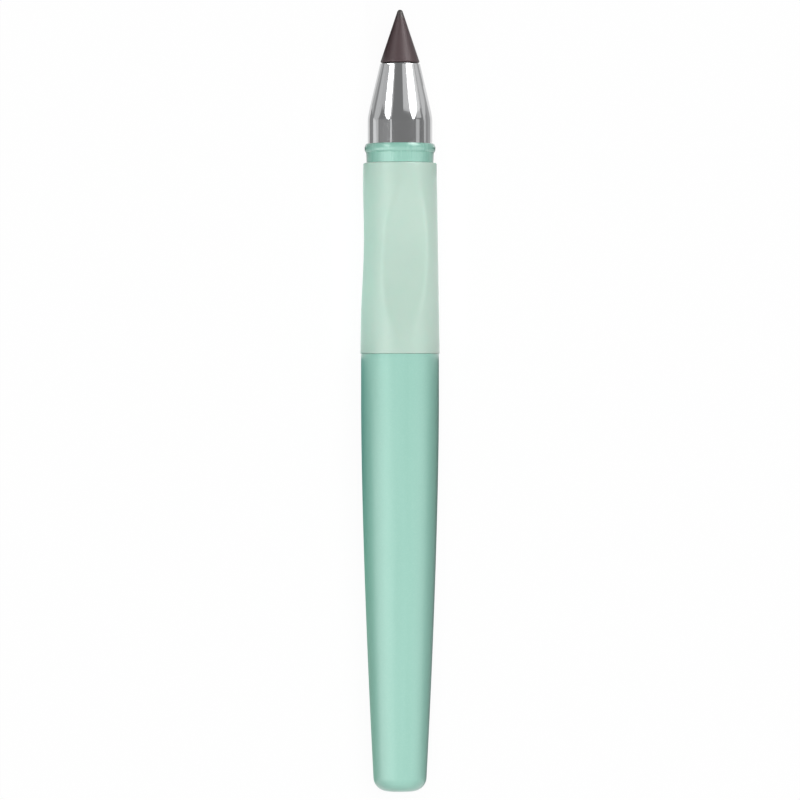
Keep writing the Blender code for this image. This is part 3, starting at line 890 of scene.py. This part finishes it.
# Cards on the floor: name, stretch along X, side of the axis with a minus sign towards +Y, edges of strips
# from the axis outwards, all in millimetres, the strips' brightness and who sees them. Dark strips are flags
# that darken the sides of the collar, the nose and the nib.
FAR = 2000.0
FLOOR_CARDS = (
    ("sleeve_left", (13.0, 38.0), -1.0, (2.0, FAR), (0.85,), GLOSS),
    ("sleeve_right", (13.0, 38.0), 1.0, (2.0, FAR), (0.9,), GLOSS),
    ("neck_left", (39.0, 42.9), -1.0, (2.0, 30.0, FAR), (0.5, 0.05), BOTH),
    ("neck_right", (39.0, 42.9), 1.0, (2.0, 30.0, FAR), (0.5, 0.05), BOTH),
    ("bead_left", (42.9, 44.4), -1.0, (2.0, FAR), (0.05,), BOTH),
    ("bead_right", (42.9, 44.4), 1.0, (2.0, FAR), (0.05,), BOTH),
    ("band_left", (44.4, 53.0), -1.0, (0.0, 12.5, 29.0, FAR), (0.8, 0.28, 0.82), GLOSS),
    ("band_right", (44.4, 57.0), 1.0, (0.0, 13.0, 22.0, 42.0, 100.0, FAR),
     (0.85, 0.42, 0.33, 0.6, 0.2), GLOSS),
    ("cone_left", (53.0, 400.0), -1.0, (0.0, 11.0, 20.0, 34.0, FAR), (0.8, 0.5, 0.3, 0.58), GLOSS),
    ("cone_right", (57.0, 400.0), 1.0, (0.0, 11.0, 20.0, 150.0, FAR), (0.78, 0.43, 0.65, 0.35), GLOSS),
    ("nib_left", (62.0, 130.0), -1.0, (3.0, 80.0), (0.03,), DULL),
    ("nib_right", (62.0, 130.0), 1.0, (3.0, 80.0), (0.03,), DULL),
)
# Cards that stand beside the pencil: name, stretch along X, distance from the axis with the same sign, lowest
# and highest edge above the floor, all in millimetres, brightness, colour and who sees them. Two lighten the
# sides of the sleeve as white surroundings would, the left one in a pale green that deepens the colour there.
# The third keeps the room off the left of the nib.
STANDING_CARDS = (
    ("sleeve_card_left", (9.0, 42.0), -12.0, (0.5, 16.0), 0.84, "DCFFF8", DULL),
    ("sleeve_card_right", (9.0, 42.0), 12.0, (0.5, 16.0), 0.52, WHITE, DULL),
    ("nib_side_flag", (61.0, 80.0), -6.0, (0.0, 11.0), 0.02, WHITE, BOTH),
)
# Strips on the floor that darken the barrel's sides: name, nearest and farthest distance from the axis with
# the same sign, and then places along X, all in millimetres, each with its brightness and colour
BARREL_SHADES = (
    ("barrel_shade_left", -2.0, -FAR, (
        (-69.0, 0.58, "D0FFEB"), (-44.0, 0.58, "D0FFEB"), (-28.0, 0.52, "AAFFE2"),
        (-12.0, 0.3, "96FFF4"), (7.5, 0.3, "96FFF4"),
    )),
    ("barrel_shade_right", 2.0, FAR, (
        (-69.0, 0.2, WHITE), (-44.0, 0.2, WHITE), (-28.0, 0.15, WHITE),
        (-12.0, 0.1, WHITE), (7.5, 0.1, WHITE),
    )),
)


def floor_strip(name, places, near, far):
    """A strip that faces up from the floor beside the pencil, between two distances from its axis."""
    along, aside = np.meshgrid(places, sorted((-near, -far)), indexing="ij")
    height = np.full_like(along, FLOOR_HEIGHT + CARD_LIFT)
    return stage_mesh(name, np.stack((along * MM, aside * MM, height), axis=-1))


def floor_card(name, stretch, side, edges, strengths, seen):
    """Even strips side by side on the floor, each between two of the edges."""
    for strip, strength in enumerate(strengths):
        label = f"{name}_{strip}"
        card = floor_strip(label, stretch, side * edges[strip], side * edges[strip + 1])
        hide_card(card, glow(label, strength), seen)


def shade_card(name, near, far, stops):
    """A strip on the floor whose brightness and colour change evenly between the stops along X."""
    places, strengths, tints = zip(*stops)
    card = floor_strip(name, places, near, far)
    colours = np.array(strengths)[:, None] * np.array([linear(tint) for tint in tints])
    shade = card.data.attributes.new("shade", "FLOAT_COLOR", "POINT")
    shade.data.foreach_set("color", np.repeat(colours, 2, axis=0).ravel().astype(np.float32))
    hide_card(card, glow(name, 1.0, graded=True), BOTH)


def standing_card(name, stretch, aside, heights, strength, tint, seen):
    """A plane that stands beside the axis and faces it, between two places along X and two heights."""
    places = stretch if aside < 0.0 else stretch[::-1]
    along, height = np.meshgrid(places, heights, indexing="ij")
    across = np.full_like(along, -aside)
    card = stage_mesh(name, np.stack((along * MM, across * MM, FLOOR_HEIGHT + height * MM), axis=-1))
    hide_card(card, glow(name, strength, tint), seen)


def paper_floor(shadow):
    """White paper: the picture and polished surfaces see it white, with a trace of its own shading kept."""
    made = bpy.data.materials.new("white_paper")
    tree = bare_tree(made)
    path = add_node(tree, "LightPath")
    seen = add_node(
        tree, "Math",
        {0: path.outputs["Is Camera Ray"], 1: path.outputs["Is Glossy Ray"]}, operation="MAXIMUM",
    )
    shown = add_node(
        tree, "Math", {0: seen.outputs[0], 1: path.outputs["Is Transmission Ray"]}, operation="MAXIMUM"
    )
    white = add_node(tree, "Emission", {"Color": linear(WHITE), "Strength": 1.0})
    paper = add_node(tree, "BsdfDiffuse", {"Color": linear("F6F6F6")})
    shaded = add_node(tree, "MixShader", {0: shadow, 1: white.outputs[0], 2: paper.outputs[0]})
    surface = add_node(tree, "MixShader", {0: shown.outputs[0], 1: paper.outputs[0], 2: shaded.outputs[0]})
    add_node(tree, "OutputMaterial", {"Surface": surface.outputs[0]})
    return made


def studio_world(ambient, room):
    """The room: white behind the picture, dim in polished surfaces, and an even low light on dull ones."""
    world = bpy.data.worlds.new("studio")
    bpy.context.scene.world = world
    tree = bare_tree(world)
    path = add_node(tree, "LightPath")
    glossy = add_node(
        tree, "Mix", {0: path.outputs["Is Glossy Ray"], 2: ambient, 3: room}, data_type="FLOAT"
    )
    straight = add_node(
        tree, "Math",
        {0: path.outputs["Is Camera Ray"], 1: path.outputs["Is Transmission Ray"]}, operation="MAXIMUM",
    )
    strength = add_node(
        tree, "Mix", {0: straight.outputs[0], 2: glossy.outputs[0], 3: 1.0}, data_type="FLOAT"
    )
    light = add_node(tree, "Background", {"Color": linear(WHITE), "Strength": strength.outputs[0]})
    add_node(tree, "OutputWorld", {"Surface": light.outputs[0]})


class PENCIL_OT_stage(bpy.types.Operator):
    """Set the stage: white paper, a broad light behind the camera, softboxes, flags and the camera above"""

    bl_idname = "pencil.set_stage"
    bl_label = "Stage"

    def execute(self, context):
        made = context.scene.pencil.stage
        context.scene.view_settings.view_transform = "Standard"
        floor_reach = 2.0
        edges = (-floor_reach, floor_reach)
        across, along = np.meshgrid(edges, edges, indexing="ij")
        height = np.full_like(along, FLOOR_HEIGHT)
        floor = stage_mesh("paper_floor", np.stack((along, -across, height), axis=-1))
        floor.data.materials.append(paper_floor(made.shadow))
        studio_world(made.ambient, made.room)
        self.add_cards()
        self.add_front_light(context, made)
        self.add_camera(context, made)
        return {"FINISHED"}

    def add_cards(self):
        for card in DOME_CARDS:
            dome_card(*card)
        for card in FLOOR_CARDS:
            floor_card(*card)
        for card in STANDING_CARDS:
            standing_card(*card)
        for card in BARREL_SHADES:
            shade_card(*card)

    def add_front_light(self, context, made):
        light = bpy.data.lights.new("front_light", "SUN")
        light.energy = made.front_light
        light.angle = made.front_spread
        lamp = bpy.data.objects.new("front_light", light)
        lamp.rotation_euler = (made.front_turn, made.front_lean, 0.0)
        lamp.visible_glossy = False
        context.scene.collection.objects.link(lamp)

    def add_camera(self, context, made):
        camera = bpy.data.cameras.new("camera")
        camera.lens = made.lens
        distance = made.image_span * made.lens / camera.sensor_width
        camera.clip_end = 10.0
        view = bpy.data.objects.new("camera", camera)
        view.location = (CAD_BOX[0].x + made.image_along, 0.0, AXIS_HEIGHT + distance)
        view.rotation_euler = (0.0, 0.0, -math.pi / 2)
        context.scene.collection.objects.link(view)
        context.scene.camera = view


class PENCIL_PT_panel(bpy.types.Panel):
    """Steps that build the pencil and its stage"""

    bl_idname = "PENCIL_PT_panel"
    bl_label = "Everlasting Pencil"
    bl_space_type = "VIEW_3D"
    bl_region_type = "UI"
    bl_category = "Pencil"

    def draw(self, context):
        for step in STEPS:
            self.layout.operator(step.bl_idname)


SETTINGS = (
    BarrelSettings, CoreSettings, SleeveSettings, NoseSettings, BushSettings, StudSettings, NibSettings,
    StageSettings, PencilSettings,
)
STEPS = (
    PENCIL_OT_barrel, PENCIL_OT_core, PENCIL_OT_sleeve, PENCIL_OT_nose, PENCIL_OT_bush, PENCIL_OT_stud,
    PENCIL_OT_nib, PENCIL_OT_stage,
)


def register():
    for made in (*SETTINGS, *STEPS, PENCIL_PT_panel):
        bpy.utils.register_class(made)
    bpy.types.Scene.pencil = PointerProperty(type=PencilSettings)


def unregister():
    del bpy.types.Scene.pencil
    for made in reversed((*SETTINGS, *STEPS, PENCIL_PT_panel)):
        bpy.utils.unregister_class(made)


def main():
    register()
    bpy.ops.pencil.turn_barrel()
    bpy.ops.pencil.turn_core()
    bpy.ops.pencil.mould_sleeve()
    bpy.ops.pencil.turn_nose()
    bpy.ops.pencil.turn_bush()
    bpy.ops.pencil.turn_stud()
    bpy.ops.pencil.press_nib()
    bpy.ops.pencil.set_stage()


if __name__ == "__main__":
    main()
